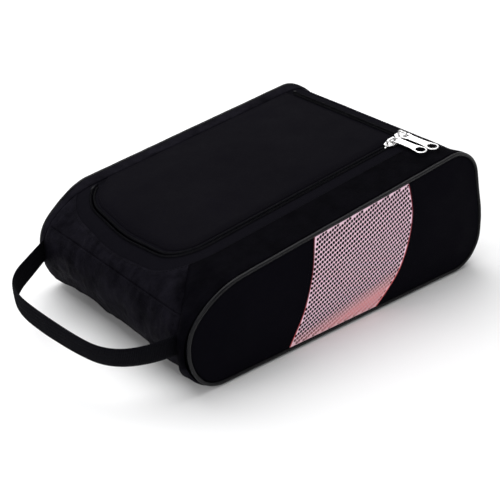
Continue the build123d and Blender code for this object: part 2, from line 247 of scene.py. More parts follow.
TOP_S = np.linspace(-196, 150, 3000)
TOP_U = along_top(*outline(TOP_S)[:2])
S_NOSE_SEAM = find_s(NOSE_SEAM_Z, -230, -150, Z_AXIS)
S_STRIP_FOOT = find_s(STRIP_FOOT_Z, -260, -170, Z_AXIS)
S_BOTTOM_FRONT = find_s(BOTTOM_FRONT_X, -320, -230, X_AXIS)
S_REAR_SEAM = find_s(REAR_SEAM_Z, 140, 200, Z_AXIS)
S_BOTTOM_REAR = find_s(BOTTOM_REAR_X, 255, 330, X_AXIS)
S_BOARD_FRONT = find_s(BOARD_FRONT_X, -320, -230, X_AXIS)
S_BOARD_REAR = find_s(BOARD_REAR_X, 270, 330, X_AXIS)


def from_mid_top(s):
    """A distance round the outline, from the middle of the top, rearwards or back."""
    return np.mod(np.asarray(s, float) + ROUND / 2, ROUND) - ROUND / 2


def top_point(u, v, height=0.0):
    """A point in the frame from the top plane's own coordinates, in mm."""
    c, n = cos(TOP_SLOPE), sin(TOP_SLOPE)
    return np.array((u * c - height * n, v, TOP_Z + u * n + height * c))


def zip_line(offset, limit):
    """Points (s, y) of the zip line moved outwards, from far front to far rear."""
    corners = [np.array(c) for c in ZIP_CORNERS]
    normals = [np.array((b[1] - a[1], a[0] - b[0])) / hypot(*(b - a))
               for a, b in zip(corners, corners[1:])]
    moved = [corners[0] + normals[0] * offset]
    for here, first, second in zip(corners[1:], normals, normals[1:]):
        moved.append(here + (first + second) * (offset / (1 + first @ second)))
    moved.append(corners[-1] + normals[-1] * offset)
    points, _ = rounded(moved, [max(r + offset, 0.4) for r in ZIP_RADII])
    keep = np.nonzero(points[:, 1] <= limit)[0]
    first, last = keep[0], keep[-1]

    def at_limit(a, b):
        return a + (b - a) * (limit - a[1]) / (b[1] - a[1])

    run = np.array([at_limit(points[first - 1], points[first]), *points[first : last + 1],
                    at_limit(points[last], points[last + 1])])
    return np.stack([np.interp(run[:, 0], TOP_U, TOP_S), run[:, 1]], axis=1)


def crease_y(s):
    """Where the seam from the zip's front corner down to the handle lies."""
    x = outline(np.asarray(s, float))[0]
    slope = (CREASE_FOOT[1] - CREASE_TOP[1]) / (CREASE_FOOT[0] - CREASE_TOP[0])
    return CREASE_TOP[1] + (x - CREASE_TOP[0]) * slope


def spaced(run, step, closed=False):
    """A run's points at even steps, with its sharp corners kept."""
    run = np.asarray(run, float)
    if closed:
        run = np.vstack([run, run[:1]])
    run = run[[True] + list(np.linalg.norm(np.diff(run, axis=0), axis=1) > 1e-6)]
    ways = np.diff(run, axis=0)
    angle = np.unwrap(np.arctan2(ways[:, 1], ways[:, 0]))
    sharp = [i + 1 for i, a in enumerate(np.abs(np.diff(angle))) if a > 0.4]
    at = run_lengths(run)
    stops = at[[0, *sharp, len(run) - 1]]
    marks = [np.linspace(a, b, max(1, round((b - a) / step)) + 1)[:-1]
             for a, b in zip(stops, stops[1:])]
    if not closed:
        marks.append(at[-1:])
    return at_lengths(np.concatenate(marks), at, run)


def within(points, loop):
    """Which points are inside a closed loop."""
    x, y = points[:, 0][:, None], points[:, 1][:, None]
    a, b = loop, np.roll(loop, -1, axis=0)
    crosses = (a[:, 1] > y) != (b[:, 1] > y)
    rise = np.where(b[:, 1] == a[:, 1], 1e-9, b[:, 1] - a[:, 1])
    at = (b[:, 0] - a[:, 0]) * (y - a[:, 1]) / rise + a[:, 0]
    return (np.sum(crosses & (x < at), axis=1) % 2) == 1


def to_loop(points, loop):
    """Distance from each point to the nearest part of a closed loop."""
    a = loop
    way = np.roll(loop, -1, axis=0) - a
    size = np.maximum((way**2).sum(axis=1), 1e-12)
    best = np.full(len(points), 1e9)
    for i in range(0, len(points), 4000):
        part = points[i : i + 4000, None, :]
        t = np.clip(((part - a) * way).sum(axis=2) / size, 0, 1)
        gap = np.linalg.norm(part - (a + way * t[:, :, None]), axis=2)
        best[i : i + 4000] = gap.min(axis=1)
    return best


def area_of(loop):
    """A closed loop's area, positive when it runs anticlockwise."""
    a, b = loop, np.roll(loop, -1, axis=0)
    return 0.5 * float((a[:, 0] * b[:, 1] - b[:, 0] * a[:, 1]).sum())


def lattice_points(edge, step, margin):
    """A triangular lattice inside an edge, clear of it by a margin."""
    low, high = edge.min(axis=0), edge.max(axis=0)
    columns = np.arange(low[0], high[0], step)
    rows = [np.stack([columns + (k % 2) * step / 2, y + 0 * columns], axis=1)
            for k, y in enumerate(np.arange(low[1], high[1], step * 0.866))]
    lattice = np.concatenate(rows)
    lattice = lattice[within(lattice, edge)]
    return lattice[to_loop(lattice, edge) > margin]


def hole_rings(edge, centres):
    """Points round each hole of the net, where they are clear of its edge."""
    angles = np.arange(10) * 2 * pi / 10
    circle_points = np.stack([np.cos(angles), np.sin(angles)], axis=1)
    rings = []
    for radius in MESH_RINGS:
        ring = (circle_points * radius * MESH_HOLE) @ row_frame()
        ring = (centres[:, None, :] + ring).reshape(-1, 2)
        rings.append(ring[within(ring, edge) & (to_loop(ring, edge) > 1.4 * MESH_SELVEDGE)])
    return np.concatenate(rings)


def cut_mesh(loop, step, rings, holes=None):
    """Triangles that fill a loop, finer at its edge. Gives points, triangles,
    the edge's segments and each point's distance to the edge."""
    loop = np.asarray(loop, float)
    if area_of(loop) < 0:
        loop = loop[::-1]
    edge = spaced(loop, step, closed=True)
    ways = np.roll(edge, -1, axis=0) - np.roll(edge, 1, axis=0)
    inward = unit(np.stack([-ways[:, 1], ways[:, 0]], axis=1))
    points = [edge]
    for ring in rings:
        moved = edge + inward * ring
        points.append(moved[within(moved, edge) & (to_loop(moved, edge) > 0.85 * ring)])
    points.append(lattice_points(edge, step, rings[-1] + 0.5 * step) if holes is None
                  else hole_rings(edge, holes))
    count = len(edge)
    segments = [(i, (i + 1) % count) for i in range(count)]
    flat = [Vector(p) for p in np.concatenate(points)]
    done = delaunay_2d_cdt(flat, segments, [], 0, 1e-5)
    points = np.array([tuple(p) for p in done[0]])
    triangles = np.array([f for f in done[2] if len(f) == 3])
    middle = points[triangles].mean(axis=1)
    keep = within(middle, edge)
    if holes is not None:
        keep &= (hole_gap(middle, holes) > 0.8) | (to_loop(middle, edge) < MESH_SELVEDGE)
    triangles = triangles[keep]
    a, b, c = (points[triangles[:, k]] for k in range(3))
    turned = (b[:, 0] - a[:, 0]) * (c[:, 1] - a[:, 1]) < (b[:, 1] - a[:, 1]) * (c[:, 0] - a[:, 0])
    triangles[turned] = triangles[turned][:, ::-1]
    used = np.unique(triangles)
    lookup = np.full(len(points), -1)
    lookup[used] = np.arange(len(used))
    points, triangles = points[used], lookup[triangles]
    return points, triangles, rim_of(triangles), to_loop(points, edge)


def row_frame():
    """Unit directions along a row of holes and across it."""
    along = np.array(MESH_ROW) / np.linalg.norm(MESH_ROW)
    return np.array([along, (-along[1], along[0])])


def hole_gap(points, centres):
    """How far each point is from the nearest hole's middle, in half widths."""
    points = points @ row_frame().T / MESH_HOLE
    centres = centres @ row_frame().T / MESH_HOLE
    best = np.full(len(points), 1e9)
    for i in range(0, len(points), 2000):
        gap = np.linalg.norm(points[i : i + 2000, None, :] - centres, axis=2)
        best[i : i + 2000] = gap.min(axis=1)
    return best


def rim_of(triangles):
    """The edges that only one triangle uses, in that triangle's direction."""
    count = {}
    for t in triangles.tolist():
        for a, b in ((t[0], t[1]), (t[1], t[2]), (t[2], t[0])):
            count[(a, b)] = count.get((a, b), 0) + 1
    return [e for e in count if (e[1], e[0]) not in count]


def far_spread(points):
    """The far top edge stands out and up a little beyond its drawn place."""
    points = np.array(points, float)
    x, y, z = points.T
    depth = (TOP_Z - z) * cos(TOP_SLOPE) + x * sin(TOP_SLOPE)
    share = smooth((y - HINGE_V - 1) / 6) * smooth(1 - depth / 70)
    share = share * smooth((x + 150) / 40) * smooth((150 - x) / 30)
    points[:, 1] += 3.2 * share
    points[:, 2] += 1.6 * share
    return points


def add_object(name, data):
    """A new object in the scene for some data."""
    obj = bpy.data.objects.new(name, data)
    bpy.context.scene.collection.objects.link(obj)
    return obj


def add_mesh(name, points, faces, material, flat=None):
    """A new smooth-shaded object, from points in millimetres."""
    mesh = bpy.data.meshes.new(name)
    points = far_spread(points) * MM
    mesh.from_pydata(points.tolist(), [], [list(f) for f in faces])
    mesh.polygons.foreach_set("use_smooth", [True] * len(mesh.polygons))
    if flat is not None:
        layer = mesh.attributes.new("flat", "FLOAT_VECTOR", "POINT")
        values = np.zeros((len(mesh.vertices), 3), np.float32)
        values[:, :2] = np.asarray(flat) * MM
        layer.data.foreach_set("vector", values.ravel())
    mesh.materials.append(material)
    mesh.update()
    return add_object(name, mesh)


def two_layers(name, outer, inner, triangles, rim, material, flat):
    """A closed sheet from its outer and inner points."""
    n = len(outer)
    faces = [tuple(t) for t in triangles.tolist()]
    faces += [(t[2] + n, t[1] + n, t[0] + n) for t in triangles.tolist()]
    for a, b in rim:
        faces.append((b, a, a + n, b + n))
    return add_mesh(name, np.vstack([outer, inner]), faces, material, np.vstack([flat, flat]))


def finish_piece(obj, body, nodes=(), bend=None):
    """Tie a piece to its body, or, when a bend is given, only fix it in place; hide the CAD it
    stands for.
    """
    if bend:
        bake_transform(obj)
    else:
        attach(obj, body)
    if nodes:
        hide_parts(*nodes)


def declare_sheet(loop):
    """Take a sheet's flat cut as an array; nothing more is done with it."""
    loop = np.asarray(loop)


def smooth(t):
    """0 to 1 with soft ends."""
    t = np.clip(t, 0, 1)
    return t * t * (3 - 2 * t)


def turned_edge(gap, width, depth):
    """How far a sheet's turned edge drops, nothing beyond a width from it."""
    return depth * (1 - np.clip(gap / width, 0, 1)) ** 2


# -------------------------------------------------------- shape of the skin
def wrinkles(points, size, seed):
    """Smooth noise in -1..1 at each point, with features of a size in mm."""
    shift = Vector((seed * 17.3, seed * -7.1, seed * 3.7))
    return np.array([noise.noise(Vector(p) / size + shift) for p in points.tolist()])


def ridges(points, size, seed):
    """Noise with sharp folds, as crumpled nylon has, in 0..1."""
    return 1 - np.abs(wrinkles(points, size, seed)) * 2


def near_to(value, middle, width):
    """1 at the middle, falling to 0 at about a width away."""
    return np.exp(-(((value - middle) / width) ** 2))


def settle(s, y):
    """How far the empty bag's nose sags and bulges off its drawn surface."""
    s, y = from_mid_top(s), np.asarray(y, float)
    on_nose = smooth((-s - 118) / 40)
    hold = smooth((GUSSET_Y - np.abs(y)) / 14)
    height = -2.6 * near_to(s, -232, 34) * near_to(y, 8, 60) * hold
    height += 3.4 * near_to(s, -205, 36) * near_to(y, -99, 12) * on_nose
    height += 2.2 * near_to(s, -205, 40) * near_to(y, 97, 12) * on_nose
    return height - 2.2 * near_to(s, 149, 18) * hold


def crumple(s, y):
    """Creases in the nylon: strong on the nose, faint elsewhere."""
    base, s = skin(s, y, 0.0), from_mid_top(s)
    nose = smooth((-s - 98) / 26) * smooth((330 + s) / 60)
    strength = 0.2 + 0.8 * nose + 0.2 * smooth((s - 138) / 20)
    hold = smooth((GUSSET_Y + 0.5 - np.abs(y)) / 7)
    lump = 0.9 * wrinkles(base, 30, 1) + 0.7 * wrinkles(base, 13, 2)
    fold = 1.5 * (ridges(base, 22, 3) - 0.5) * (0.6 + 0.6 * wrinkles(base, 60, 4))
    fine = 0.45 * ridges(base, 8, 5)
    return (lump + fold + fine) * strength * hold


def crease_valley(s, y):
    """The fold that runs from the zip's front corner down to the handle."""
    off, s = y - crease_y(s), from_mid_top(s)
    along = smooth((-s - 128) / 26) * smooth((s + 232) / 18)
    return -3.0 * along * near_to(off, 0.0, 4.2) + 1.0 * along * near_to(off, -9.0, 5.0)


def puckers(s, y):
    """Gathers across the nose seam and round the front of the zip."""
    base, s = skin(s, y, 0.0), from_mid_top(s)
    gather = np.sin(base[:, 1] / 1.35 + 2.2 * wrinkles(base, 22, 6))
    return 0.3 * gather * (near_to(s, S_NOSE_SEAM - 5, 6.0) + near_to(s, S_NOSE_SEAM + 11, 6.0))


def nylon_height(s, y, gap):
    """The gusset's height off its drawn surface, at a gap from the panel's edge."""
    height = settle(s, y) + crease_valley(s, y) + puckers(s, y) * smooth(gap / 1.5)
    return height + crumple(s, y) * smooth(gap / 6) - turned_edge(gap, 1.7, 1.0)


# ---------------------------------------------------------------- materials
def new_material(name):
    """A material with only its shader and output."""
    material = bpy.data.materials.new(name)
    material.use_nodes = True
    tree = material.node_tree
    tree.nodes.clear()
    shader = tree.nodes.new("ShaderNodeBsdfPrincipled")
    output = tree.nodes.new("ShaderNodeOutputMaterial")
    tree.links.new(shader.outputs[0], output.inputs[0])
    return material, tree, shader


def add_node(tree, kind, values=None, **settings):
    """A node with its settings and its sockets' values or links."""
    node = tree.nodes.new("ShaderNode" + kind)
    for key, value in settings.items():
        setattr(node, key, value)
    for key, value in (values or {}).items():
        if hasattr(value, "is_output"):
            tree.links.new(value, node.inputs[key])
        else:
            node.inputs[key].default_value = value
    return node


def place_in(tree, flat):
    """Where a texture sits: the cloth's own flat cut, or the object."""
    if flat:
        return add_node(tree, "Attribute", attribute_name="flat").outputs["Vector"]
    return add_node(tree, "TexCoord").outputs["Object"]


def noise_in(tree, where, scale, detail=3.0, rough=0.55):
    """A noise texture's value."""
    node = add_node(tree, "TexNoise", {"Vector": where, "Scale": scale, "Detail": detail,
                                       "Roughness": rough})
    return node.outputs[0]


def mapped(tree, value, low, high, start=0.3, end=0.7):
    """A value moved from start..end to low..high."""
    node = add_node(tree, "MapRange", {"Value": value, "From Min": start, "From Max": end,
                                       "To Min": low, "To Max": high})
    return node.outputs[0]


def mixed(tree, factor, a, b):
    """A colour between two, by a factor."""
    node = add_node(tree, "Mix", {"Factor": factor}, data_type="RGBA")
    node.inputs[6].default_value = (*a, 1.0)
    node.inputs[7].default_value = (*b, 1.0)
    return node.outputs[2]


def waves(tree, where, pitch, direction, distortion):
    """Ridges at a pitch in metres along one axis."""
    scale = pi / (10 * pitch)
    node = add_node(tree, "TexWave", {"Vector": where, "Scale": scale, "Distortion": distortion},
                    bands_direction=direction)
    return node.outputs[1]


def math(tree, kind, a, b):
    """One sum of two values."""
    node = add_node(tree, "Math", {0: a, 1: b}, operation=kind)
    return node.outputs[0]


def bumped(tree, shader, layers):
    """Stack height textures, each with its depth in metres, on the shader."""
    normal = None
    for height, depth in layers:
        values = {"Height": height, "Distance": depth, "Strength": 1.0}
        if normal is not None:
            values["Normal"] = normal
        normal = add_node(tree, "Bump", values).outputs[0]
    tree.links.new(normal, shader.inputs["Normal"])


def dress(tree, shader, shade, rough, bumps, **fixed):
    """Set a shader up: shade is (value, dark, light, start, end), rough is (value, low,
    high), bumps are (height, depth), and the rest are single values."""
    value, dark, light, *span = shade
    colour = mixed(tree, mapped(tree, value, 0.0, 1.0, *span), dark, light)
    tree.links.new(colour, shader.inputs["Base Color"])
    tree.links.new(mapped(tree, *rough), shader.inputs["Roughness"])
    bumped(tree, shader, bumps)
    names = {"sheen": "Sheen Weight", "sheen_rough": "Sheen Roughness",
             "specular": "Specular IOR Level", "metallic": "Metallic"}
    for key, value in fixed.items():
        shader.inputs[names[key]].default_value = value


def blend_of(tree, a, b, share):
    """A share of one value with the rest of another."""
    return math(tree, "ADD", math(tree, "MULTIPLY", a, share),
                math(tree, "MULTIPLY", b, 1 - share))


def cloth_material(name, dark, light, rough, sheen, specular, pitch=0.0006, crinkle=0.0,
                   patch=45.0, twill=False):
    """Woven black synthetic cloth."""
    material, tree, shader = new_material(name)
    solid, flat = place_in(tree, False), place_in(tree, True)
    shade = blend_of(tree, noise_in(tree, solid, patch, 4.0), noise_in(tree, flat, 1400.0, 2.0),
                     0.75)
    worn = noise_in(tree, solid, patch * 2.2, 5.0, 0.65)
    weave = waves(tree, flat, pitch, "DIAGONAL" if twill else "X", 0.4)
    if not twill:
        weave = math(tree, "MULTIPLY", weave, waves(tree, flat, pitch, "Y", 0.4))
    bumps = [(noise_in(tree, solid, 130.0, 5.0, 0.6), crinkle)] if crinkle else []
    bumps += [(noise_in(tree, solid, 420.0), 0.00018), (weave, 0.00012)]
    dress(tree, shader, (shade, dark, light, 0.32, 0.68), (worn, rough - 0.09, rough + 0.09),
          bumps, sheen=sheen, sheen_rough=0.45, specular=specular)
    return material


def ribbed_material(name, dark, light, rough, pitch, depth, sheen, specular):
    """Tape or webbing with ribs, and fine yarn along them."""
    material, tree, shader = new_material(name)
    solid, flat = place_in(tree, False), place_in(tree, True)
    rib = waves(tree, flat, pitch, "X", 0.6)
    yarn = waves(tree, flat, pitch * 0.45, "Y", 1.2)
    shade = blend_of(tree, rib, noise_in(tree, flat, 900.0), 0.55)
    worn = noise_in(tree, solid, 160.0, 4.0)
    bumps = [(rib, depth), (yarn, depth * 0.4), (noise_in(tree, solid, 2200.0), 0.00006)]
    dress(tree, shader, (shade, dark, light, 0.25, 0.75), (worn, rough - 0.08, rough + 0.08),
          bumps, sheen=sheen, specular=specular)
    return material


def grain_material(name, dark, light, grain, rough, dents, wear=None, **fixed):
    """A hard material: noise settings for its colour, its wear and its dents."""
    material, tree, shader = new_material(name)
    solid = place_in(tree, False)
    cloud = noise_in(tree, solid, *grain)
    worn = noise_in(tree, solid, *wear) if wear else cloud
    bumps = [(noise_in(tree, solid, *settings), depth) for *settings, depth in dents]
    dress(tree, shader, (cloud, dark, light), (worn, *rough), bumps, **fixed)
    return material


def pink_material(name, low, high, start, end, rough, sheen):
    """Pink knit whose colour runs from upper front to lower rear; a near-black low colour, as the
    backing has, is painted shade at the upper front.
    """
    material, tree, shader = new_material(name)
    solid, flat = place_in(tree, False), place_in(tree, True)
    split = add_node(tree, "SeparateXYZ", {"Vector": solid})
    # the colour runs along this slant; on the backing its dark end is painted shade
    slant = math(tree, "SUBTRACT", math(tree, "MULTIPLY", split.outputs[0], 0.20),
                 split.outputs[2])
    wander = math(tree, "MULTIPLY", noise_in(tree, solid, 40.0), 0.004)
    tone = math(tree, "ADD", slant, wander)
    fuzz = noise_in(tree, solid, 500.0, 4.0)
    bumps = [(waves(tree, flat, 0.00075, "DIAGONAL", 1.5), 0.0001), (fuzz, 0.0001)]
    dress(tree, shader, (tone, low, high, start, end), (fuzz, rough - 0.1, rough + 0.1),
          bumps, sheen=sheen, specular=0.15)
    return material


def floor_material():
    """Plain pale paper sweep."""
    material, tree, shader = new_material("floor")
    cloud = noise_in(tree, place_in(tree, False), 3.0)
    tree.links.new(mixed(tree, cloud, (0.83, 0.83, 0.835), (0.86, 0.86, 0.865)),
                   shader.inputs["Base Color"])
    shader.inputs["Roughness"].default_value = 0.8
    return material


NYLON = cloth_material(
    "gusset_nylon", (0.0019, 0.0017, 0.0029), (0.0080, 0.0073, 0.0110), 0.55,
    sheen=0.002, crinkle=0.0016, patch=75.0, specular=0.008)
# Same nylon as the gusset, with a darker colour that is painted shade on the near top margin; its
# rougher, less shiny settings make it matt.
NYLON_PAINTED_SHADE = cloth_material(
    "gusset_nylon_matt_painted_shade", (0.0008, 0.0007, 0.0013), (0.0022, 0.0020, 0.0033), 0.6,
    sheen=0.001, crinkle=0.0008, patch=60.0, specular=0.006)
SATIN = cloth_material(
    "lid_satin", (0.0026, 0.0023, 0.0038), (0.0034, 0.0030, 0.0048), 0.58,
    sheen=0.002, pitch=0.0007, twill=True, patch=14.0, specular=0.010)
SIDE = cloth_material(
    "side_nylon", (0.0026, 0.0024, 0.0040), (0.0034, 0.0031, 0.0051), 0.62,
    sheen=0.003, patch=16.0, specular=0.006)
PIPE = cloth_material(
    "piping_satin", (0.0010, 0.0010, 0.0018), (0.0022, 0.0022, 0.0036), 0.16,
    sheen=0.002, pitch=0.0005, twill=True, patch=120.0, specular=0.16)
LINING_CLOTH = cloth_material(
    "lining", (0.006, 0.006, 0.008), (0.012, 0.012, 0.015), 0.55,
    sheen=0.03, pitch=0.001, crinkle=0.0006, specular=0.12)
TAPE_CLOTH = ribbed_material(
    "zip_tape", (0.0024, 0.0022, 0.0036), (0.0056, 0.0052, 0.0078), 0.6, 0.0009, 0.00018,
    sheen=0.003, specular=0.006)
BINDING = ribbed_material(
    "binding_tape", (0.0016, 0.0015, 0.0024), (0.0036, 0.0034, 0.0052), 0.65, 0.0012, 0.0002,
    sheen=0.003, specular=0.006)
STRAP = ribbed_material(
    "webbing", (0.0012, 0.0012, 0.0019), (0.0052, 0.0051, 0.0076), 0.52, 0.0013, 0.0003,
    sheen=0.004, specular=0.02)
THREAD = ribbed_material(
    "thread", (0.001, 0.001, 0.0016), (0.0036, 0.0036, 0.0050), 0.45, 0.0006, 0.0001,
    sheen=0.003, specular=0.03)
NICKEL = grain_material(
    "nickel", (0.62, 0.61, 0.60), (0.86, 0.86, 0.87), (260.0, 4.0), (0.16, 0.34),
    [(700.0, 4.0, 0.00002)], (1500.0, 3.0), metallic=1.0)
COIL = grain_material(
    "coil_filament", (0.002, 0.002, 0.003), (0.005, 0.005, 0.0066), (900.0, 3.0), (0.24, 0.4),
    [(3000.0, 0.00003)], specular=0.04)
BOARD_FACE = grain_material(
    "fibreboard", (0.05, 0.048, 0.045), (0.13, 0.125, 0.115), (1100.0, 5.0, 0.7), (0.75, 0.92),
    [(1100.0, 5.0, 0.7, 0.0002), (90.0, 0.0003)])
PINK = pink_material("pink_mesh", (1.0, 0.71, 0.84), (1.0, 0.58, 0.63), -0.026, -0.006, 0.7, 0.05)
# Backing seen through the net's holes: its near-black colour towards the upper front is painted
# shade, running to pink towards the lower rear.
PINK_BACK_PAINTED_SHADE = pink_material(
    "pink_backing_painted_shade", (0.002, 0.0008, 0.0014), (1.0, 0.48, 0.51), -0.020, -0.006, 0.8, 0.0)
CORAL = pink_material(
    "coral_edging", (0.20, 0.03, 0.045), (0.72, 0.12, 0.13), -0.060, -0.01, 0.7, 0.05)


# ------------------------------------------------------------ camera, light
def aim(obj, place, target):
    """Put a lamp or the camera somewhere, looking at a point."""
    obj.location = place
    way = Vector(target) - Vector(place)
    obj.rotation_euler = way.to_track_quat("-Z", "Y").to_euler()


def make_camera():
    """A view down on the near side and the low nose."""
    camera = add_object("camera", bpy.data.cameras.new("camera"))
    camera.data.sensor_width, camera.data.lens = CAMERA_SENSOR, CAMERA_LENS
    camera.data.clip_start = 0.01
    aim(camera, CAMERA_PLACE, Vector(CAMERA_PLACE) + Vector(CAMERA_WAY))
    bpy.context.scene.camera = camera


def make_studio():
    """Floor, soft rectangular lamps and a white surround."""
    mesh = bpy.data.meshes.new("studio_floor")
    corners = box_about((FLOOR_HALF, FLOOR_HALF))
    mesh.from_pydata([(x, y, 0) for x, y in corners.tolist()], [], [(0, 1, 2, 3)])
    mesh.materials.append(floor_material())
    floor = add_object("studio_floor", mesh)
    floor.location.z = -FLOOR_DROP
    for name, place, size, power in LAMPS:
        data = bpy.data.lights.new(name, "AREA")
        data.shape, data.energy = "RECTANGLE", power
        data.size, data.size_y = size
        aim(add_object(name, data), place, LAMP_TARGET)
    world = bpy.data.worlds.new("surround")
    world.use_nodes = True
    background = world.node_tree.nodes["Background"]
    background.inputs[0].default_value = (1.0, 1.0, 1.0, 1.0)
    background.inputs[1].default_value = SURROUND
    bpy.context.scene.world = world
    bpy.context.scene.view_settings.view_transform = "Standard"


# ------------------------------------------------------------ gusset panels
GUSSET_PIECES = (  # panel, CAD node, step between points, cloth
    ("upper_nose", "upper_nose_panel", 2.2, NYLON),
    ("lower_nose", "lower_nose_panel", 2.2, NYLON),
    # the near top margin's darker nylon is painted shade
    ("near_top", "near_top_gusset", 2.2, NYLON_PAINTED_SHADE),
    ("far_top", "far_top_gusset", 2.2, NYLON),
    ("rear_top", "rear_top_strip", 2.6, NYLON),
    ("rear", "rear_panel", 3.0, NYLON),
    ("bottom", "bottom_panel", 4.0, NYLON),
)


def skin_sheet(name, loop, heights, material, step, rings=EDGE_RINGS, flat_of=None):
    """Cloth over the gusset, kept above the floor: heights gives its outer and inner
    height at each s, y and gap from the edge."""
    points, triangles, rim, gap = cut_mesh(loop, step, rings)
    s, y = points[:, 0], points[:, 1]
    outer, inner = (skin(s, y, height) for height in heights(s, y, gap))
    lift = np.maximum(0.0, -outer[:, 2])
    outer[:, 2] += lift
    inner[:, 2] += lift
    flat = flat_of(points) if flat_of else points
    return two_layers(name, outer, inner, triangles, rim, material, flat)


def gusset_piece(name, loop, node, step, material):
    """One panel of the band, with turned edges, creases and sag."""

    def heights(s, y, gap):
        height = nylon_height(s, y, gap)
        return height, height - FABRIC * (0.55 + 0.45 * smooth(gap / 1.5))

    obj = skin_sheet(name, loop, heights, material, step)
    finish_piece(obj, "shell", [node])
    declare_sheet(loop)


def gusset_loops():
    """The flat cut of each gusset panel, as loops of (s, y)."""
    far = HINGE_V + HINGE_GAP
    hole = zip_line(SHELL_EDGE, far)
    front_edge = hole[: int(np.argmax(hole[:, 1] < crease_y(hole[:, 0])))]
    near_edge = hole[len(front_edge):]
    near_edge = near_edge[near_edge[:, 1] < NEAR_RUN_V]
    rear_s = np.interp(REAR_RUN_U + SHELL_EDGE, TOP_U, TOP_S)
    up = np.linspace(front_edge[-1][0], S_STRIP_FOOT, 80)
    crease = np.stack([up, crease_y(up)], axis=1)
    down = np.linspace(S_NOSE_SEAM, S_STRIP_FOOT, 30)
    seam_end = (S_NOSE_SEAM, float(crease_y(S_NOSE_SEAM)))
    return {
        "upper_nose": np.vstack([[[S_NOSE_SEAM, far]], front_edge,
                                 crease[crease[:, 0] > S_NOSE_SEAM], [seam_end]]),
        "lower_nose": np.array([
            (S_BOTTOM_FRONT, -GUSSET_Y), (S_BOTTOM_FRONT, GUSSET_Y), (S_STRIP_FOOT, GUSSET_Y),
            (S_STRIP_FOOT, far), (S_NOSE_SEAM, far), seam_end,
            *[(s, float(crease_y(s))) for s in down[1:]], (S_STRIP_FOOT, -GUSSET_Y)]),
        "near_top": np.array([
            (S_STRIP_FOOT, -GUSSET_Y), (S_REAR_SEAM, -GUSSET_Y), (S_REAR_SEAM, NEAR_RUN_V),
            (rear_s, NEAR_RUN_V), *near_edge[::-1].tolist(), *crease.tolist()]),
        "far_top": np.array([(S_STRIP_FOOT, far), (S_STRIP_FOOT, GUSSET_Y),
                             (S_REAR_SEAM, GUSSET_Y), (S_REAR_SEAM, far)]),
        "rear_top": box((rear_s, NEAR_RUN_V), (S_REAR_SEAM, far)),
        "rear": box((S_REAR_SEAM, -GUSSET_Y), (S_BOTTOM_REAR, GUSSET_Y)),
        "bottom": box((S_BOTTOM_REAR, -GUSSET_Y), (S_BOTTOM_FRONT + ROUND, GUSSET_Y)),
    }


def make_gusset():
    """The band between the two sides: seven sewn panels."""
    loops = gusset_loops()
    for part, node, step, material in GUSSET_PIECES:
        gusset_piece(f"{part}_cloth", loops[part], node, step, material)


# -------------------------------------------------------------- side panels
def arc_points(three):
    """Points along the arc through three points."""
    (ax, ay), (bx, by), (cx, cy) = three
    d = 2 * (ax * (by - cy) + bx * (cy - ay) + cx * (ay - by))
    a2, b2, c2 = ax * ax + ay * ay, bx * bx + by * by, cx * cx + cy * cy
    ox = (a2 * (by - cy) + b2 * (cy - ay) + c2 * (ay - by)) / d
    oy = (a2 * (cx - bx) + b2 * (ax - cx) + c2 * (bx - ax)) / d
    angles = np.unwrap([atan2(y - oy, x - ox) for x, y in three])
    t = np.linspace(angles[0], angles[2], 160)
    r = hypot(ax - ox, ay - oy)
    return np.stack([ox + r * np.cos(t), oy + r * np.sin(t)], axis=1)


def panel_edge(s):
    """The side panels' edge, drawn in from the outline by the piping."""
    x, z, nx, nz = outline(s)
    return np.stack([x - nx * 2 * PIPING_RADIUS, z - nz * 2 * PIPING_RADIUS], axis=1)


def once_round(count):
    """Distances evenly once round the outline."""
    return np.linspace(0, ROUND, count)[:-1]


def side_loops():
    """The front panel, window and rear panel of one side, and the window's two arcs."""
    whole = panel_edge(once_round(1600))
    cuts = []
    for three in (WINDOW_FRONT, WINDOW_REAR):
        arc = arc_points(three)
        arc = arc[within(arc, whole)]
        top = float(np.interp(along_top(*arc[0]), TOP_U, TOP_S))
        cuts.append((arc, top, find_s(arc[-1][0], 280, 560, X_AXIS)))
    (front, front_top, front_foot), (rear, rear_top, rear_foot) = cuts

    def along(a, b):
        return panel_edge(np.linspace(a, b, max(2, int(abs(b - a)))))

    return {
        "front": np.vstack([along(front_foot, ROUND + front_top), front]),
        "window": np.vstack([along(front_top, rear_top), rear, along(rear_foot, front_foot),
                             front[::-1]]),
        "rear": np.vstack([along(rear_top, rear_foot), rear[::-1]]),
    }, front, rear


def side_height(points):
    """A side's dome and slow waves, out from its flat face."""
    gap = to_loop(points, RIM_RUN)
    solid = np.stack([points[:, 0], 0 * points[:, 0], points[:, 1]], axis=1)
    return 2.4 * smooth(gap / 34) + 0.45 * wrinkles(solid, 55, 8) * smooth(gap / 20)


RIM_RUN = panel_edge(once_round(500))


def place_side(points, height, sign):
    """Side-view points on one side of the bag."""
    return np.stack([points[:, 0], sign * (PANEL_Y + height), points[:, 1]], axis=1)


def side_piece(name, loop, sign, material, thick, drop=0.8, step=3.0, holes=None, sink=0.0):
    """One panel of a side."""
    rings = EDGE_RINGS if holes is None else (MESH_SELVEDGE,)
    points, triangles, rim, gap = cut_mesh(loop, step, rings, holes)
    if sign > 0:
        triangles = triangles[:, ::-1]
        rim = [(b, a) for a, b in rim]
    height = side_height(points) - sink - turned_edge(gap, 1.6, drop)
    if holes is not None:
        inner, outer = MESH_RINGS
        away = hole_gap(points, holes)
        height = height - 0.15 * (1 - smooth((away - inner) / (outer - inner)))
    return two_layers(name, place_side(points, height, sign),
                      place_side(points, height - thick, sign), triangles, rim, material, points)


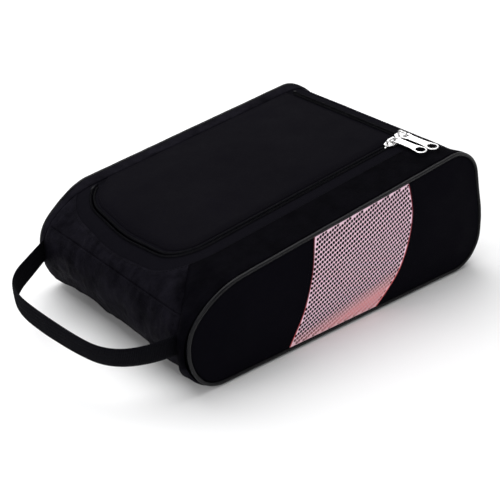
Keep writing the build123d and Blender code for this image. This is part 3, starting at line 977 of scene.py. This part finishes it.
def hole_centres(loop):
    """The knit's leaning rows of holes, as far as a window's edge."""
    steps = np.arange(-70, 71)
    i, j = (grid.ravel()[:, None] for grid in np.meshgrid(steps, steps))
    found = i * np.array(MESH_ROW) + j * np.array(MESH_DOWN) + (0.0, 55.0)
    low, high = loop.min(axis=0), loop.max(axis=0)
    found = found[((found > low) & (found < high)).all(axis=1)]
    found = found[within(found, loop)]
    return found[to_loop(found, loop) > MESH_MARGIN]


def make_sides():
    """Both sides: plain panels, perforated window with its backing, edging."""
    loops, *arcs = side_loops()
    window = loops["window"]
    centres = hole_centres(window)
    for side, sign in (("near", -1), ("far", 1)):
        for part in ("front", "rear"):
            obj = side_piece(f"{side}_{part}_side_cloth", loops[part], sign, SIDE, SIDE_FABRIC)
            finish_piece(obj, "shell", [f"{side}_{part}_panel"])
            declare_sheet(loops[part])
        net = side_piece(f"{side}_window_net", window, sign, PINK, NET, 0.3, 2.4, centres)
        finish_piece(net, "shell", [f"{side}_mesh_window"])
        declare_sheet(window)
        # the backing's dark upper front is painted shade
        back = side_piece(f"{side}_window_backing", window, sign, PINK_BACK_PAINTED_SHADE, BACKING, 0.3, 3.4,
                          sink=BACKING_DEPTH)
        finish_piece(back, "shell")
        declare_sheet(window)
        for part, arc in zip(("front", "rear"), arcs):
            run = spaced(arc, 1.6)
            line = place_side(run, side_height(run) - 0.15, sign)
            edging = tube(f"{side}_{part}_window_edging", line, 0.42, 6, CORAL)
            finish_piece(edging, "shell")


# --------------------------------------------------------- tubes and sweeps
def frames_along(line, closed):
    """Two directions square to a line and to each other, at each of its points."""
    ahead, behind = np.roll(line, -1, axis=0), np.roll(line, 1, axis=0)
    if not closed:
        ahead[-1], behind[0] = line[-1], line[0]
    way = unit(ahead - behind)
    side = np.zeros_like(way)
    last = np.array((0.0, 1.0, 0.0))
    if abs(way[0] @ last) > 0.9:
        last = np.array((0.0, 0.0, 1.0))
    for i, t in enumerate(way):
        last = last - t * (last @ t)
        last = last / np.linalg.norm(last)
        side[i] = last
    return side, np.cross(way, side)


def ring_faces(count, size, closed=False):
    """Faces between rings of the same number of points, capped where open."""
    faces = []
    for i in range(count if closed else count - 1):
        a, b = i * size, ((i + 1) % count) * size
        for k in range(size):
            j = (k + 1) % size
            faces.append((a + k, a + j, b + j, b + k))
    if not closed:
        faces.append(tuple(range(size))[::-1])
        faces.append(tuple((count - 1) * size + k for k in range(size)))
    return faces


def loft(name, rings, material, closed, flat):
    """Skin a list of rings with the same number of points."""
    faces = ring_faces(rings.shape[0], rings.shape[1], closed)
    return add_mesh(name, rings.reshape(-1, 3), faces, material, flat)


def tube_parts(line, radius, sides, closed=False):
    """Points, faces and flat places of a round tube along a line."""
    side, up = frames_along(line, closed)
    angles = np.arange(sides) * 2 * pi / sides
    ring = side[:, None, :] * np.cos(angles)[None, :, None]
    ring = ring + up[:, None, :] * np.sin(angles)[None, :, None]
    size = np.broadcast_to(radius, len(line))[:, None, None]
    points = (line[:, None, :] + ring * size).reshape(-1, 3)
    at = run_lengths(line)
    flat = np.stack([np.repeat(at, sides), np.tile(angles * np.max(radius), len(at))], axis=1)
    return points, ring_faces(len(line), sides, closed), flat


def tube(name, line, radius, sides, material, closed=False):
    """A round tube along a line."""
    points, faces, flat = tube_parts(line, radius, sides, closed)
    return add_mesh(name, points, faces, material, flat)


def merged(parts):
    """The points and faces of several parts as one."""
    points, faces = [], []
    for part in parts:
        shift = sum(len(p) for p in points)
        points.append(part[0])
        faces += [tuple(v + shift for v in f) for f in part[1]]
    return np.vstack(points), faces


def make_piping():
    """The covered cord round each side, a little uneven as sewn cord is."""
    s = once_round(420)
    x, z, nx, nz = outline(s)
    for side, sign in (("near", -1), ("far", 1)):
        base = np.stack([x, sign * PIPING_Y + 0 * x, z], axis=1)
        depth = PIPING_RADIUS - (0.16 * wrinkles(base, 17, 11) + 0.10 * wrinkles(base, 7, 12))
        across = sign * (PIPING_Y + 0.12 * wrinkles(base, 21, 13))
        centre = np.stack([x - nx * depth, across, z - nz * depth], axis=1)
        radius = PIPING_RADIUS * (1 + 0.05 * wrinkles(base, 9, 14))
        obj = tube(f"{side}_piping_cord", centre[::-1], radius[::-1], 14, PIPE, closed=True)
        finish_piece(obj, "shell", [f"{side}_piping"])


def make_seam_bindings():
    """The tape folded over each side's seam allowance, inside the bag."""
    s = once_round(360)
    size = len(BINDING_SECTION)
    flat = np.stack([np.repeat(s, size), np.tile(np.arange(size) * 1.2, len(s))], axis=1)
    for side, sign in (("near", -1), ("far", 1)):
        rings = []
        for depth, y in BINDING_SECTION:
            ripple = 0.22 * wrinkles(skin(s, sign * y + 0 * s, -depth), 8, 15)
            rings.append(skin(s, sign * y + ripple, -depth + ripple))
        rings = np.stack(rings, axis=1)
        if sign > 0:
            rings = rings[:, ::-1]
        obj = loft(f"{side}_binding_fold", rings, BINDING, True, flat)
        finish_piece(obj, "shell", [f"{side}_seam_binding"])


# ---------------------------------------------------------------- the floor
def give_material(node, material):
    """Put a material on a CAD node that keeps its own shape."""
    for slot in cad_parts[node].material_slots:
        slot.material = material


def make_floor_pieces():
    """The stiff board keeps its CAD shape; the lining is cloth laid over it."""
    half = GUSSET_Y - BOARD_MARGIN
    loop = box((S_BOARD_REAR, -half), (S_BOARD_FRONT + ROUND, half))

    def heights(s, y, gap):
        puff = 0.5 * (wrinkles(skin(s, y, 0.0), 40, 21) + 0.6) * smooth(gap / 12)
        height = -(FABRIC + BOARD) - 0.05 - puff
        return height, height - LINING

    obj = skin_sheet("base_lining_cloth", loop, heights, LINING_CLOTH, 4.0)
    finish_piece(obj, "shell", ["base_lining"])
    declare_sheet(loop)
    give_material("base_board", BOARD_FACE)


# ------------------------------------------------------------------ the lid
def lid_height(s, y, gap):
    """The lid's low crown and its rolled edge."""
    crown = 1.5 * smooth(gap / 45)
    wave = 0.35 * wrinkles(skin(s, y, 0.0), 70, 31) * smooth(gap / 20)
    roll = -1.35 * (1 - smooth(gap / 6.5)) - turned_edge(gap, 1.3, 0.5)
    return crown + wave + roll + 0.75


def cover_heights(s, y, gap):
    """The padded cover's outside, and its inside round the foam."""
    at_hinge = smooth((HINGE_V - HINGE_GAP - y) / 9)
    foam = (LID_FOAM - 0.1) * smooth((gap - 2.0) / 6.0) * smooth((HINGE_V - LID_FOLD - y) / 5)
    return lid_height(s, y, gap) * at_hinge - 0.5 * (1 - at_hinge), -FABRIC - 0.05 - foam


def lid_lining_heights(s, y, gap):
    """The lid's lining, a little loose over the foam."""
    puff = 0.6 * (wrinkles(skin(s, y, 0.0), 45, 32) + 0.5) * smooth(gap / 15)
    height = -(FABRIC + LID_FOAM) - puff - 0.1
    return height, height - LINING


def make_lid():
    """Padded cover and its lining."""
    loop = zip_line(-LID_EDGE, HINGE_V - HINGE_GAP)
    cover = skin_sheet("lid_cover", loop, cover_heights, SATIN, 2.6, (0.4, 1.0, 2.0, 3.4, 5.0))
    finish_piece(cover, "lid", ["lid_panel", "lid_foam"])

    loop = zip_line(LID_BINDING - LID_TAPE_EDGE, HINGE_V - LID_FOLD)
    lining = skin_sheet("lid_lining_cloth", loop, lid_lining_heights, LINING_CLOTH, 3.4)
    finish_piece(lining, "lid", ["lid_lining"])
    declare_sheet(loop)


# ------------------------------------------------------------------ the zip
ZIP_RUN = zip_line(0.0, HINGE_V)
ZIP_AT = run_lengths(ZIP_RUN)


def ring_loop(outer, inner, limit):
    """The band between two offsets of the zip line, as one closed loop."""
    return np.vstack([zip_line(outer, limit), zip_line(inner, limit)[::-1]])


def band_flat(points):
    """Flat coordinates for a tape: along the zip line, and out from it."""
    a, b = ZIP_RUN[:-1], ZIP_RUN[1:]
    way = b - a
    size = (way**2).sum(axis=1)
    along, away = np.zeros(len(points)), np.zeros(len(points))
    for i, p in enumerate(points):
        t = np.clip(((p - a) * way).sum(axis=1) / size, 0, 1)
        gap = np.linalg.norm(p - (a + way * t[:, None]), axis=1)
        k = int(np.argmin(gap))
        along[i] = ZIP_AT[k] + t[k] * (ZIP_AT[k + 1] - ZIP_AT[k])
        away[i] = gap[k]
    return np.stack([along, away], axis=1)


def band_piece(name, loop, top, thick, material, body, node, drop):
    """A flat tape that follows the zip line."""

    def heights(s, y, gap):
        height = top + settle(s, y) - turned_edge(gap, 1.0, drop)
        height = height + 0.10 * wrinkles(skin(s, y, 0.0), 12, 41)
        return height, height - thick

    obj = skin_sheet(name, loop, heights, material, 1.7, (0.45, 1.1), band_flat)
    finish_piece(obj, body, [node])
    declare_sheet(loop)


def coil_line(side):
    """The filament of one half of the coil, and each point's (s, y)."""
    middle = zip_line(side * COIL_MIDDLE, COIL_END_V)
    inside = zip_line(side * COIL_INSIDE, COIL_END_V)
    at, at_inside = run_lengths(middle), run_lengths(inside)
    turns = int(at[-1] / COIL_PITCH)
    t = (np.arange(turns * COIL_STEPS) + (0 if side > 0 else COIL_STEPS / 2)) / COIL_STEPS
    t = t[t < turns]
    share = t * COIL_PITCH / at[-1]
    mid = at_lengths(share * at[-1], at, middle)
    out = mid - at_lengths(share * at_inside[-1], at_inside, inside)
    place = mid + unit(out) * (COIL_TURN * np.cos(2 * pi * t))[:, None]
    s, y = place[:, 0], place[:, 1]
    depth = -COIL_SINK + COIL_DEPTH * np.sin(2 * pi * t) + settle(s, y)
    return skin(s, y, depth), place


def coil_piece(name, side, body, node, skip=None):
    """One half of the zip's coil, as turns of filament, in lengths between gaps."""
    line, place = coil_line(side)
    lengths = [line]
    if skip:
        keep = ~skip(place)
        cuts = np.nonzero(np.diff(keep.astype(int)))[0] + 1
        lengths = [part for part, ok in zip(np.split(line, cuts), np.split(keep, cuts))
                   if ok[0] and len(part) > COIL_STEPS]
    parts = [tube_parts(part, COIL_WIRE, 5) for part in lengths]
    obj = add_mesh(name, *merged(parts), COIL, np.vstack([part[2] for part in parts]))
    finish_piece(obj, body, [node])


def by_sliders(place):
    """Where the lid's half of the zip makes room for the parked sliders."""
    s, y = place[:, 0], place[:, 1]
    near = (s > NEAR_SLIDER_U - SLIDER_REACH) & (y < NEAR_RUN_V + LID_EDGE)
    return near | (s > REAR_RUN_U - LID_EDGE) & (y < REAR_SLIDER_V + SLIDER_REACH)


def lid_tape_loop():
    """The lid's tape, less the notch round the parked sliders."""
    fold = HINGE_V - LID_FOLD
    outer = zip_line(-TAPE_EDGE, fold)
    notch_u, notch_v = NEAR_SLIDER_U - SLIDER_REACH, REAR_SLIDER_V + SLIDER_REACH
    near = outer[(outer[:, 0] < notch_u) & (outer[:, 1] < 40) | (outer[:, 0] < 0)]
    rear = outer[(outer[:, 0] > notch_u) & (outer[:, 1] > notch_v)]
    corner_u, corner_v = REAR_RUN_U - LID_EDGE, NEAR_RUN_V + LID_EDGE
    step = [(notch_u, near[-1][1]), (notch_u, corner_v), (corner_u, corner_v),
            (corner_u, notch_v), (rear[0][0], notch_v)]
    return np.vstack([near, step, rear, zip_line(-LID_TAPE_EDGE, fold)[::-1]])


def make_zip():
    """Tapes, coils, the lid's binding and the end stops."""
    shell_loop = ring_loop(SHELL_TAPE_EDGE, TAPE_EDGE, HINGE_V + HINGE_GAP)
    binding = ring_loop(LID_BINDING - LID_TAPE_EDGE, -LID_TAPE_EDGE, HINGE_V - LID_FOLD)
    top, thick = -FABRIC - 0.1, TAPE - 0.1
    band_piece("shell_tape", shell_loop, top, thick, TAPE_CLOTH, "shell",
               "shell_zip_tape", 0.05)
    band_piece("lid_tape", lid_tape_loop(), top, thick, TAPE_CLOTH, "lid",
               "lid_zip_tape", 0.05)
    coil_piece("shell_coil", 1, "shell", "shell_zip_coil")
    coil_piece("lid_coil", -1, "lid", "lid_zip_coil", by_sliders)
    band_piece("lid_binding_fold", binding, -FABRIC - TAPE - 0.25, LID_BINDING_THICK, BINDING,
               "lid", "lid_binding", 0.3)
    give_material("front_zip_stop", COIL)
    give_material("rear_zip_stop", COIL)


def make_hinge():
    """The strip of tape sewn inside along the hinge."""
    loop = box((ZIP_RUN[0][0] - 4, HINGE_V - HINGE_TAPE_HALF),
               (ZIP_RUN[-1][0] + 4, HINGE_V + HINGE_TAPE_HALF))

    def heights(s, y, gap):
        height = -FABRIC - 0.12 + 0.05 * wrinkles(skin(s, y, 0.0), 9, 51)
        return height, height - HINGE_TAPE

    obj = skin_sheet("hinge_tape", loop, heights, BINDING, 1.6, (0.4, 1.0))
    start = top_point(0, HINGE_V + 3) * MM
    end = top_point(0, HINGE_V - 3) * MM
    finish_piece(obj, None, (), ("shell", "lid", tuple(start), tuple(end)))
    declare_sheet(loop)


# ------------------------------------------------------------------ threads
def stitch(line, normals, at, d, radius):
    """One stitch at distance d along a line: its points and their flat places."""
    here, ahead = at_lengths(d, at, line), at_lengths(d + 0.4, at, line)
    up = at_lengths(d, at, normals)
    way = ahead - here
    way /= max(np.linalg.norm(way), 1e-9)
    up = up - way * (up @ way)
    up /= np.linalg.norm(up)
    side = np.cross(up, way)
    points, flat = [], []
    for along, size, high in STITCH_PROFILE:
        centre = here + way * along * STITCH + up * (0.02 + high * radius)
        for a in np.arange(STITCH_SIDES) * 2 * pi / STITCH_SIDES:
            points.append(centre + (side * cos(a) + up * sin(a)) * radius * size)
            flat.append((d + along * STITCH, a * radius))
    return points, flat


def thread_piece(name, lines, body="shell", radius=0.24):
    """Rows of stitches along lines of points and normals, as one piece."""
    parts = []
    faces = ring_faces(len(STITCH_PROFILE), STITCH_SIDES)
    for line, normals in lines:
        at = run_lengths(line)
        for d in np.arange(STITCH_PITCH / 2, at[-1] - STITCH_PITCH / 2, STITCH_PITCH):
            points, flat = stitch(line, normals, at, d, radius)
            parts.append((points, faces, flat))
    flat = np.vstack([part[2] for part in parts])
    finish_piece(add_mesh(name, *merged(parts), THREAD, flat), body)


def on_gusset(run, height_of):
    """A line of (s, y) laid on the gusset, with its normals."""
    run = spaced(run, 1.5)
    s, y = run[:, 0], run[:, 1]
    _, _, nx, nz = outline(s)
    return skin(s, y, height_of(s, y)), np.stack([nx, 0 * nx, nz], axis=1)


def window_rows(sign):
    """Two rows of stitches beside each curved edge of a window."""
    rows = []
    for three, way in ((WINDOW_FRONT, -1), (WINDOW_REAR, 1)):
        arc = arc_points(three)
        direction = unit(np.gradient(arc, axis=0))
        normal = np.stack([-direction[:, 1], direction[:, 0]], axis=1)
        if normal[len(normal) // 2][0] * way < 0:
            normal = -normal
        for off in WINDOW_ROWS:
            moved = arc + normal * off
            moved = moved[within(moved, RIM_RUN) & (to_loop(moved, RIM_RUN) > 1.5)]
            run = spaced(moved, 1.5)
            line = place_side(run, side_height(run) - turned_edge(off, 1.6, 0.8), sign)
            rows.append((line, np.tile((0.0, float(sign), 0.0), (len(line), 1))))
    return rows


def make_threads():
    """Topstitching along the seams."""
    around = zip_line(SHELL_EDGE + SHELL_ROW, HINGE_V + HINGE_GAP - 3)
    lines = [on_gusset(around, lambda s, y: nylon_height(s, y, SHELL_ROW))]
    for off, near_end in ((SHELL_ROW, -86.0), (NOSE_ROW, -88.0)):
        row = [(S_NOSE_SEAM - off, near_end), (S_NOSE_SEAM - off, 97.0)]
        lines.append(on_gusset(row, lambda s, y: nylon_height(s, y, off)))
    thread_piece("shell_topstitch", lines)
    edge = zip_line(-LID_EDGE - 2.0, HINGE_V - 6)
    lines = [on_gusset(edge, lambda s, y: lid_height(s, y, np.full(len(s), 2.0)))]
    thread_piece("lid_topstitch", lines, "lid", 0.2)
    for side, sign in (("near", -1), ("far", 1)):
        thread_piece(f"{side}_window_topstitch", window_rows(sign), radius=0.2)


# --------------------------------------------------------------- metal work
def plate_mesh(outline_points, holes, thick, bevel):
    """A flat plate with rounded edges, from a filled curve; origin mid depth."""
    curve = bpy.data.curves.new("plate", "CURVE")
    curve.dimensions = "2D"
    curve.fill_mode = "BOTH"
    curve.extrude = thick / 2 - bevel
    curve.bevel_depth = bevel
    curve.bevel_resolution = 3
    curve.offset = -bevel
    for loop in (outline_points, *holes):
        spline = curve.splines.new("POLY")
        spline.points.add(len(loop) - 1)
        for point, (x, y) in zip(spline.points, loop):
            point.co = (x, y, 0.0, 1.0)
        spline.use_cyclic_u = True
    obj = add_object("plate", curve)
    bpy.context.view_layer.update()
    evaluated = obj.evaluated_get(bpy.context.evaluated_depsgraph_get())
    mesh = bpy.data.meshes.new_from_object(evaluated)
    points = np.array([tuple(v.co) for v in mesh.vertices])
    faces = [tuple(p.vertices) for p in mesh.polygons]
    bpy.data.objects.remove(obj)
    bpy.data.curves.remove(curve)
    bpy.data.meshes.remove(mesh)
    return points, faces


def metal(name, parts, place, body, nodes):
    """Plates and bars in a track's own coordinates as one piece on the top."""
    local, faces = merged(parts)
    u0, v0, turn = place
    u = u0 + local[:, 0] * cos(turn) - local[:, 1] * sin(turn)
    v = v0 + local[:, 0] * sin(turn) + local[:, 1] * cos(turn)
    obj = add_mesh(name, top_point(u, v, local[:, 2]).T, faces, NICKEL)
    obj.data.set_sharp_from_angle(angle=radians(38))
    finish_piece(obj, body, nodes)


def lifted(part, height, squash=1.0):
    """A part moved up, and made shorter along the track."""
    points, faces = part
    return points * (squash, 1.0, 1.0) + (0.0, 0.0, height), faces


def bar_sweep(line, width, thick):
    """A rounded bar along a line in the track's x-z plane."""
    section = soft_corners(box_about((width / 2, thick / 2)), 0.28, 3)
    ways = unit(np.gradient(line, axis=0))
    points = [(x - wz * out, across, z + wx * out)
              for (x, z), (wx, wz) in zip(line, ways) for across, out in section]
    return np.array(points), ring_faces(len(line), len(section))


def slider_body():
    """A slider's two plates, its side walls and its post."""
    half, nose = SLIDER_WIDTH / 2, SLIDER_LENGTH / 2
    right = [(-nose, -half * 0.62), (-nose * 0.3, -half), (nose * 0.8, -half), (nose, -half * 0.7)]
    shape = right + [(x, -y) for x, y in right[::-1]]
    plate = plate_mesh(soft_corners(shape, 1.4), (), PLATE, 0.35)
    under = -(FABRIC + TAPE + RUNNING_GAP)
    body = [lifted(plate, RUNNING_GAP + PLATE / 2), lifted(plate, under - PLATE / 2, 0.9)]
    wall = box((-nose * 0.3, half - 0.05 - FLANGE), (nose * 0.8, half - 0.05))
    for flip in (1, -1):
        loop = [(x, y * flip) for x, y in wall][::flip]
        body.append(lifted(plate_mesh(soft_corners(loop, 0.4), (), FABRIC, 0.2),
                           RUNNING_GAP - FABRIC / 2))
    post = plate_mesh(soft_corners(box_about(POST), 0.1), (), RUNNING_GAP - under, 0.08)
    return [*body, lifted(post, (RUNNING_GAP + under) / 2)]


def slider_bridge():
    """The bar that holds the pull tab, with grip ribs on its crown."""
    foot = RUNNING_GAP + PLATE
    crown = foot + BRIDGE_CLEAR + BRIDGE_BAR / 2
    reach = BRIDGE_LENGTH / 2 - BRIDGE_BAR / 2
    path, _ = rounded([(-reach, foot - 0.2), (-reach, crown), (reach, crown), (reach, foot - 0.2)],
                      (0.0, 1.9, 1.9, 0.0))
    bridge = [bar_sweep(spaced(path, 0.35), BRIDGE_WIDTH, BRIDGE_BAR)]
    wide = BRIDGE_WIDTH / 2 + 0.12
    for x in np.linspace(-2.6, 2.6, 5):
        rib = soft_corners(box((x - 0.3, -wide), (x + 0.3, wide)), 0.12)
        bridge.append(lifted(plate_mesh(rib, (), 0.5, 0.12), crown + BRIDGE_BAR / 2))
    return bridge


def tab_parts():
    """A pull tab that lies towards -y, its slot round a bridge leg."""
    half = TAB_WIDTH / 2
    base = TAB_SLOT[1] + 1.2
    end = base - TAB_LENGTH + half
    shank = half * 0.86
    turn = np.linspace(pi - 0.2, 2 * pi + 0.2, 30)
    neck = [(shank * 0.80, end + half + 5.5), (shank * 0.80, -4.5), (shank, -1.5)]
    shape = [(half * cos(a), end + half * sin(a)) for a in turn]
    shape += [*neck, (shank, base), (-shank, base), *[(-x, y) for x, y in neck[::-1]]]

    def eye(radius, way=1):
        angles = np.arange(40) * 2 * pi / 40
        return [(radius * cos(a), end + 0.7 + 1.2 * radius * sin(a)) for a in angles][::way]

    slot = soft_corners(box_about(TAB_SLOT), 0.5)[::-1]
    plate = plate_mesh(shape, (eye(TAB_HOLE, -1), slot), TAB, 0.4)
    raised = plate_mesh(eye(TAB_HOLE + 0.5), (eye(TAB_HOLE + 0.1, -1),), 0.3, 0.12)
    ridge = [(-1.3, -8.5), (1.3, -8.5), (1.0, -19.5), (-1.0, -19.5)][::-1]
    grip = plate_mesh(soft_corners(ridge, 0.7), (), 0.5, 0.2)
    height = RUNNING_GAP + PLATE + RUNNING_GAP + TAB / 2
    return [lifted(plate, height), lifted(raised, height + TAB / 2),
            lifted(grip, height + TAB / 2)]


def make_sliders():
    """Both sliders with their bridges and pull tabs."""
    body, bridge, tab = slider_body(), slider_bridge(), tab_parts()
    near, rear = (NEAR_SLIDER_U, NEAR_RUN_V, 0.0), (REAR_RUN_U, REAR_SLIDER_V, pi / 2)
    near_leg = (NEAR_SLIDER_U + LEG_OFFSET, NEAR_RUN_V, 0.0)
    rear_leg = (REAR_RUN_U, REAR_SLIDER_V - LEG_OFFSET, 0.0)
    for end, place in (("near", near), ("rear", rear)):
        metal(f"{end}_slider_metal", body, place, f"slider_{end}", [f"{end}_slider"])
        metal(f"{end}_slider_bridge", bridge, place, f"slider_{end}", [f"{end}_slider_cap"])
    for end, leg in (("near", near_leg), ("rear", rear_leg)):
        metal(f"{end}_tab_metal", tab, leg, f"tab_{end}", [f"{end}_pull_tab"])


# ------------------------------------------------------------------- handle
def smooth_line(points, count):
    """A smooth open line near some points, by averaging between them."""
    at = run_lengths(points[:, :3])
    line = at_lengths(np.linspace(0, at[-1], count), at, points)
    for _ in range(int(count * 0.55)):
        line[1:-1] = 0.25 * line[:-2] + 0.5 * line[1:-1] + 0.25 * line[2:]
    return line


def webbing_frame(t, at, rough):
    """The webbing's centre line, with its directions across and through."""
    line = at_lengths(t, at, rough)
    centre, lean = line[:, :3], np.radians(line[:, 3])[:, None]
    way = unit(np.gradient(centre, axis=0))
    level = unit(np.cross(way, (0.0, 0.0, 1.0)))
    wide = np.cross(level, way) * np.cos(lean) - level * np.sin(lean)
    return centre, wide, np.cross(way, wide)


def make_handle():
    """The ribbed webbing handle, one strap from sewn end to sewn end."""
    rough = smooth_line(np.column_stack([HANDLE_LINE, HANDLE_LEAN]), 240)
    at = run_lengths(rough[:, :3])
    t = np.linspace(0, at[-1], int(at[-1] / RIB_PITCH * 5))
    centre, wide, thin = webbing_frame(t, at, rough)
    rib = RIB * np.cos(2 * pi * t / RIB_PITCH)
    half = WEBBING_WIDTH / 2
    across = [-1 + 2 * k / (WEBBING_ROWS - 1) for k in range(WEBBING_ROWS)]
    rings, flat = [], []
    for f, face in [(f, 1) for f in across] + [(-f, -1) for f in across]:
        roll = (1 - abs(f) ** 8) ** 0.5 if abs(f) < 1 else 0.0
        weft = rib * (1 if round((f + 1) * 6) % 2 else -1) * roll
        shift = face * (WEBBING / 2 * (0.25 + 0.75 * roll) + weft) + 0.5 * f * f
        rings.append(centre + wide * (f * half) + thin * shift[:, None])
        side = (f + 1) * half + (30 if face < 0 else 0)
        flat.append(np.stack([t, np.full(len(t), side)], axis=1))
    rings = np.stack(rings, axis=1)
    flat = np.stack(flat, axis=1).reshape(-1, 2)
    obj = loft("handle_webbing", rings[:, ::-1], STRAP, False, flat)
    finish_piece(obj, None, ["handle_strap", "near_handle_end", "far_handle_end"],
                 ("shell", "handle", *HANDLE_BEND))


make_camera()
make_studio()
make_gusset()
make_sides()
make_piping()
make_seam_bindings()
make_floor_pieces()
make_lid()
make_zip()
make_hinge()
make_threads()
make_sliders()
make_handle()
